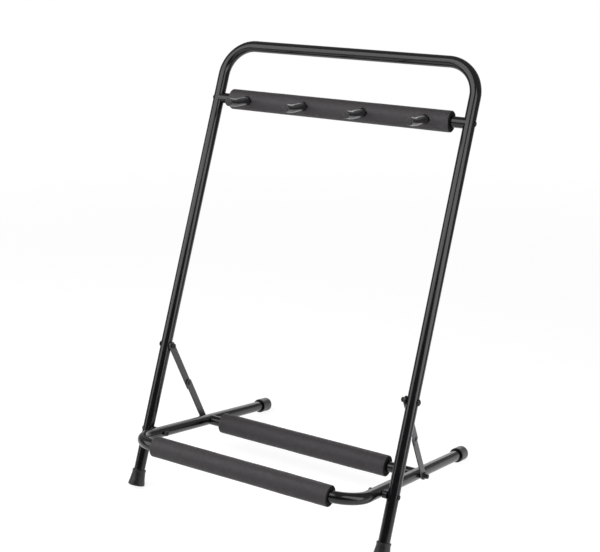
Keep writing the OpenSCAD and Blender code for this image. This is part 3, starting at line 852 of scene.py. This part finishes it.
armPivotFace = armInner - sizes["play"]
bar = topBarMiddle * [0, 1, 1]
rearBar = rearBarMiddle * [0, 1, 1]
upperPlace = upperPin * [0, 1, 1]
pivotPlace = pivot * [0, 1, 1]
seat = legOuter + sizes["fit"]
nutDepth = boltSizes["nutHeight"] + boltSizes["proud"]
upperNutX = upperLinkX - sizes["slide"] - boltSizes["nutHeight"]
threaded = 0.004
for name, node, body, shells in (
        ("crossbarBolts", "top_crossbar_bolts", "main_frame",
         bothSides(boltShell, bar, legInner - plugLength + boltSizes["shank"], seat, lowHead, boltSizes)),
        ("pivotBolts", "pivot_bolts", "main_frame",
         bothSides(boltShell, pivotPlace, armPivotFace - nutDepth, seat, lowHead, boltSizes,
                   threaded=threaded)),
        ("pivotSpacers", "pivot_spacers", "main_frame",
         bothSides(ringShell, pivotPlace, armOuter + sizes["slide"], legInner - sizes["slide"], boltSizes)),
        ("pivotNuts", "pivot_nuts", "main_frame",
         bothSides(nutShell, pivotPlace, armPivotFace - boltSizes["nutHeight"], boltSizes)),
        ("upperBraceBolts", "upper_brace_bolts", "main_frame",
         bothSides(boltShell, upperPlace, upperNutX - boltSizes["proud"], seat, domedHead, boltSizes,
                   threaded=threaded)),
        ("upperBraceWashers", "upper_brace_washers", "main_frame",
         bothSides(ringShell, upperPlace, legInner - ringHeight, legInner, boltSizes)),
        ("upperBraceNuts", "upper_brace_nuts", "main_frame",
         bothSides(nutShell, upperPlace, upperNutX, boltSizes)),
        ("lowerBraceBolts", "lower_brace_bolts", "base_frame",
         bothSides(flangedShell, rearBar, armInner - plugLength + boltSizes["shank"],
                   lowerLinkX + sizes["link"] + sizes["slide"], flangedHead, boltSizes)),
        ("lowerBraceWashers", "lower_brace_washers", "base_frame",
         bothSides(ringShell, rearBar, armOuter, armOuter + ringHeight, boltSizes))):
    makePiece(name, shells, [blacked], body, [node])
print("stage 8: bolts, nuts and rings are fitted")

# Folding brace
stripLook = dict(width=0.014, bevel=0.00045, tab=0.0035, tabCorner=0.0012, sharpCorner=0.0001)
rivetLook = dict(head=0.00425, rim=0.00035, shank=0.0025, around=56)


def roundedOutline(points, radii, steps=14):
    # A closed outline of corner points, each replaced by an arc of its radius: returns the points of the arcs
    # and the outward normal at each
    places, normals = [], []
    count = len(points)
    for i, (corner, radius) in enumerate(zip(points, radii)):
        before = unit(corner - points[i - 1])
        after = unit(points[(i + 1) % count] - corner)
        bend = np.arctan2(before[0] * after[1] - before[1] * after[0], before @ after)
        reach = radius * np.tan(abs(bend) / 2)
        sign = np.sign(bend)
        centre = corner - before * reach + sign * radius * np.array([-before[1], before[0]])
        heading = np.arctan2(before[1], before[0]) + np.linspace(0, bend, steps)
        normal = np.stack([np.sin(heading), -np.cos(heading)], -1)
        places.append(centre + sign * radius * normal)
        normals.append(normal)
    return np.concatenate(places), np.concatenate(normals)


def plateShell(outline, normals, first, origin, along, out, s, mirrored):
    # The outline carried through the strip's thickness, drawn in at both faces by a quarter round, and closed
    # by rings that shrink to a line down its middle
    bevel = s["bevel"]
    turn = np.radians(np.linspace(0, 90, 5))
    inset = bevel * (1 - np.sin(turn))
    lift = bevel * (1 - np.cos(turn))
    spine = np.clip(outline[:, 0], 0, linkLength)
    middle = np.stack([spine, 0 * spine], -1)
    rings = [(outline - normals * i, h) for i, h in zip(inset, lift)]
    low = [(middle + (rings[0][0] - middle) * share, rings[0][1]) for share in (0, 0.5)]
    up = [(ring, sizes["link"] - h) for ring, h in reversed(low + rings)]
    levels = low + rings + up
    points = np.stack([origin + along * flat[:, :1] + out * flat[:, 1:] + sideways * (first + height)
                       for flat, height in levels])
    return gridShell(mirror(points) if mirrored else points)


def rivetShell(place, first, length, s, mirrored, head):
    # Shank with one low domed head: head is 1 where it stands on the far face and -1 on the near one
    rise = sizes["rivetHead"] - s["rim"]
    ball = (s["head"] ** 2 + rise ** 2) / (2 * rise)
    out = np.linspace(s["head"], 0, 12)
    dome = length + sizes["rivetHead"] - ball + np.sqrt(ball ** 2 - out ** 2)
    along, radius = profile((0, 0), (0, s["shank"]), (length, s["shank"]), (length, s["head"] - 0.0001),
                            np.stack([dome, out], -1))
    along = along if head > 0 else length - along
    return gridShell(turned(first + along, radius, place, sideways, legUp, s["around"], mirrored))


# Round ends stay just under half the strip's width, so that neighbouring arcs don't meet in one point
roundShare = 0.999


def upperOutline(s):
    # Round at the leg, and at the rivet round on one side with a square stop tab on the other
    half = s["width"] / 2
    end = linkLength + half
    points = np.array([(-half, -half), (end, -half), (end, 0), (end + s["tab"], 0), (end + s["tab"], half),
                       (-half, half)])
    full = half * roundShare
    return roundedOutline(points, [full, half * 0.95, s["sharpCorner"], s["tabCorner"], s["tabCorner"], full])


def lowerOutline(s):
    half = s["width"] / 2
    end = linkLength + half
    points = np.array([(-half, -half), (end, -half), (end, half), (-half, half)])
    return roundedOutline(points, [half * roundShare] * 4)


elbow = upperPin * [0, 1, 1] + linkDown * linkLength
for side, mirrored in (("left", True), ("right", False)):
    title = side.title()
    upper = plateShell(*upperOutline(stripLook), upperLinkX, upperPlace, linkDown, linkFront, stripLook,
                       mirrored)
    lower = plateShell(*lowerOutline(stripLook), lowerLinkX, rearBar, -linkDown, linkFront, stripLook,
                       mirrored)
    for name, link in (("upper", upper), ("lower", lower)):
        node = name + "_link_" + side
        makePiece(name + "Link" + title, [link], [strip], node, [node])
    farRivet = rivetShell(elbow, upperLinkX, sizes["link"], rivetLook, mirrored, 1)
    nearRivet = rivetShell(elbow, lowerLinkX, sizes["link"], rivetLook, mirrored, -1)
    for name, rivet in (("upper", farRivet), ("lower", nearRivet)):
        makePiece(name + "Rivet" + title, [rivet], [blacked], name + "_link_" + side,
                  [name + "_rivet_" + side])
print("stage 9: braces are riveted")

# The studio: a white floor, an even pale room, two slanting soft boxes in front, a wide one behind that only
# gloss shows, and a tent that only gloss shows, near black in front and dim behind and above
roomLook = dict(plain=0.1, front=0.04, back=0.3, tentRadius=7.0, tentRows=24, tentColumns=48, floorSize=60.0,
                floorAlbedo=0.5, bounce=0.1, shadowShare=0.3, glow=0.89, nearby=0.5, faraway=2.5,
                sweep=0.5, sweepEdge=1.25, mirrored=0.25)
softBoxes = (
    dict(name="leftBox", azimuth=-38.0, elevation=36.0, roll=48.0, distance=1.25, size=(2.0, 1.1), power=16.4),
    dict(name="rightBox", azimuth=72.0, elevation=17.5, roll=-57.0, distance=1.1, size=(1.45, 0.6), power=6.9),
    dict(name="rearBox", azimuth=200.0, elevation=10.0, roll=0.0, distance=3.3, size=(2.0, 1.6), power=12.0,
         glossOnly=True))
aim = np.array([0, 0, 0.35])


def seenRays(b):
    # The first is 1 for rays from the camera, from gloss and through glass, and 0 for the rays that light
    # things. The second is 1 for rays from gloss alone
    path = b.make("ShaderNodeLightPath").socket.node
    camera, glossy, through = (Wire(b, path.outputs[name]) for name in
                               ("Is Camera Ray", "Is Glossy Ray", "Is Transmission Ray"))
    return camera + glossy + through, glossy


def makeRoom(s):
    world = bpy.data.worlds.new("room")
    bpy.context.scene.world = world
    b = Board(world)
    strength = seenRays(b)[0] * (1 - s["plain"]) + s["plain"]
    white = b.make("ShaderNodeBackground", Color=(1, 1, 1, 1), Strength=strength)
    b.make("ShaderNodeOutputWorld", Surface=white)


def glowingCard(b, grey, glow):
    paper = b.make("ShaderNodeBsdfDiffuse", Color=(grey, grey, grey, 1))
    return b.make("ShaderNodeAddShader", i0=paper, i1=b.make("ShaderNodeEmission", Strength=glow))


def makeFloor(s):
    # Lit like pale card, and shown white with the object's soft shadow left on it. Far from the object, where
    # the lamps fall off, it is plain white. Gloss sees a sweep that is dimmer past its edges on both sides
    half = s["floorSize"] / 2
    square = [(-half, -half, 0), (half, -half, 0), (half, half, 0), (-half, half, 0)]
    floor = addMesh("floor", square, [(0, 1, 2, 3)])
    coat = bpy.data.materials.new("floorCard")
    b = Board(coat)
    card = glowingCard(b, s["floorAlbedo"], s["bounce"])
    seen, glossy = seenRays(b)
    where = b.place()
    away = b.make("ShaderNodeVectorMath", {"operation": "LENGTH"}, 1, i0=where) / s["faraway"]
    fade = b.ramp(away, (s["nearby"] / s["faraway"], 0), (1.0, 1))
    aside = abs(b.make("ShaderNodeSeparateXYZ", i0=where)) / s["faraway"]
    dim = b.ramp(aside, (s["sweep"] / s["faraway"], 0), (s["sweepEdge"] / s["faraway"], 1))
    white = 1 - glossy * dim * (1 - s["mirrored"])
    near = glowingCard(b, s["shadowShare"], white * s["glow"])
    shown = b.make("ShaderNodeMixShader", i0=fade, i1=near, i2=b.make("ShaderNodeEmission", Strength=white))
    mixed = b.make("ShaderNodeMixShader", i0=seen, i1=card, i2=shown)
    b.make("ShaderNodeOutputMaterial", Surface=mixed)
    floor.data.materials.append(coat)


def makeTent(s):
    # The inside of a half ball of dim cloth: point = radius * (cos e sin a, -cos e cos a, sin e)
    e = np.radians(np.linspace(2, 90, s["tentRows"]))[:, None]
    a = np.linspace(0, 2 * np.pi, s["tentColumns"], endpoint=False)[None]
    points = np.stack([np.cos(e) * np.sin(a), -np.cos(e) * np.cos(a), np.sin(e) + 0 * a], -1) * s["tentRadius"]
    tent = addMesh("tent", points.reshape(-1, 3), gridFaces(s["tentRows"], s["tentColumns"]))
    coat = bpy.data.materials.new("tentCloth")
    b = Board(coat)
    turn = b.make("ShaderNodeVectorMath", {"operation": "DOT_PRODUCT"}, 1, i0=b.place(),
                  i1=(0, 0.5 / s["tentRadius"], 0.5 / s["tentRadius"])) + 0.5
    strength = b.ramp(turn, (0.3, s["front"]), (0.85, s["back"]))
    b.make("ShaderNodeOutputMaterial", Surface=b.make("ShaderNodeEmission", Strength=strength))
    tent.data.materials.append(coat)
    tent.visible_camera = tent.visible_diffuse = tent.visible_shadow = False
    tent.visible_transmission = tent.visible_volume_scatter = False


def addSoftBox(s, aim):
    # Stands round the object like the camera: azimuth 0 is in front and 90 to the right. A roll above 0 lifts
    # the side of the box that is further round to the right
    a, e = np.radians(s["azimuth"]), np.radians(s["elevation"])
    away = np.array([np.cos(e) * np.sin(a), -np.cos(e) * np.cos(a), np.sin(e)])
    data = bpy.data.lights.new(s["name"], "AREA")
    data.shape = "RECTANGLE"
    data.size, data.size_y = s["size"]
    data.energy = s["power"]
    lamp = bpy.data.objects.new(s["name"], data)
    lamp.location = aim + away * s["distance"]
    facing = Euler((np.pi / 2 - e, 0, a)).to_matrix()
    lamp.rotation_euler = (facing @ Matrix.Rotation(np.radians(s["roll"]), 3, "Z")).to_euler()
    lamp.visible_camera = False
    lamp.visible_diffuse = not s.get("glossOnly")
    bpy.context.scene.collection.objects.link(lamp)


makeRoom(roomLook)
makeFloor(roomLook)
makeTent(roomLook)
for box in softBoxes:
    addSoftBox(box, aim)
bpy.context.scene.view_settings.view_transform = "Standard"
print("stage 10: the studio is lit")
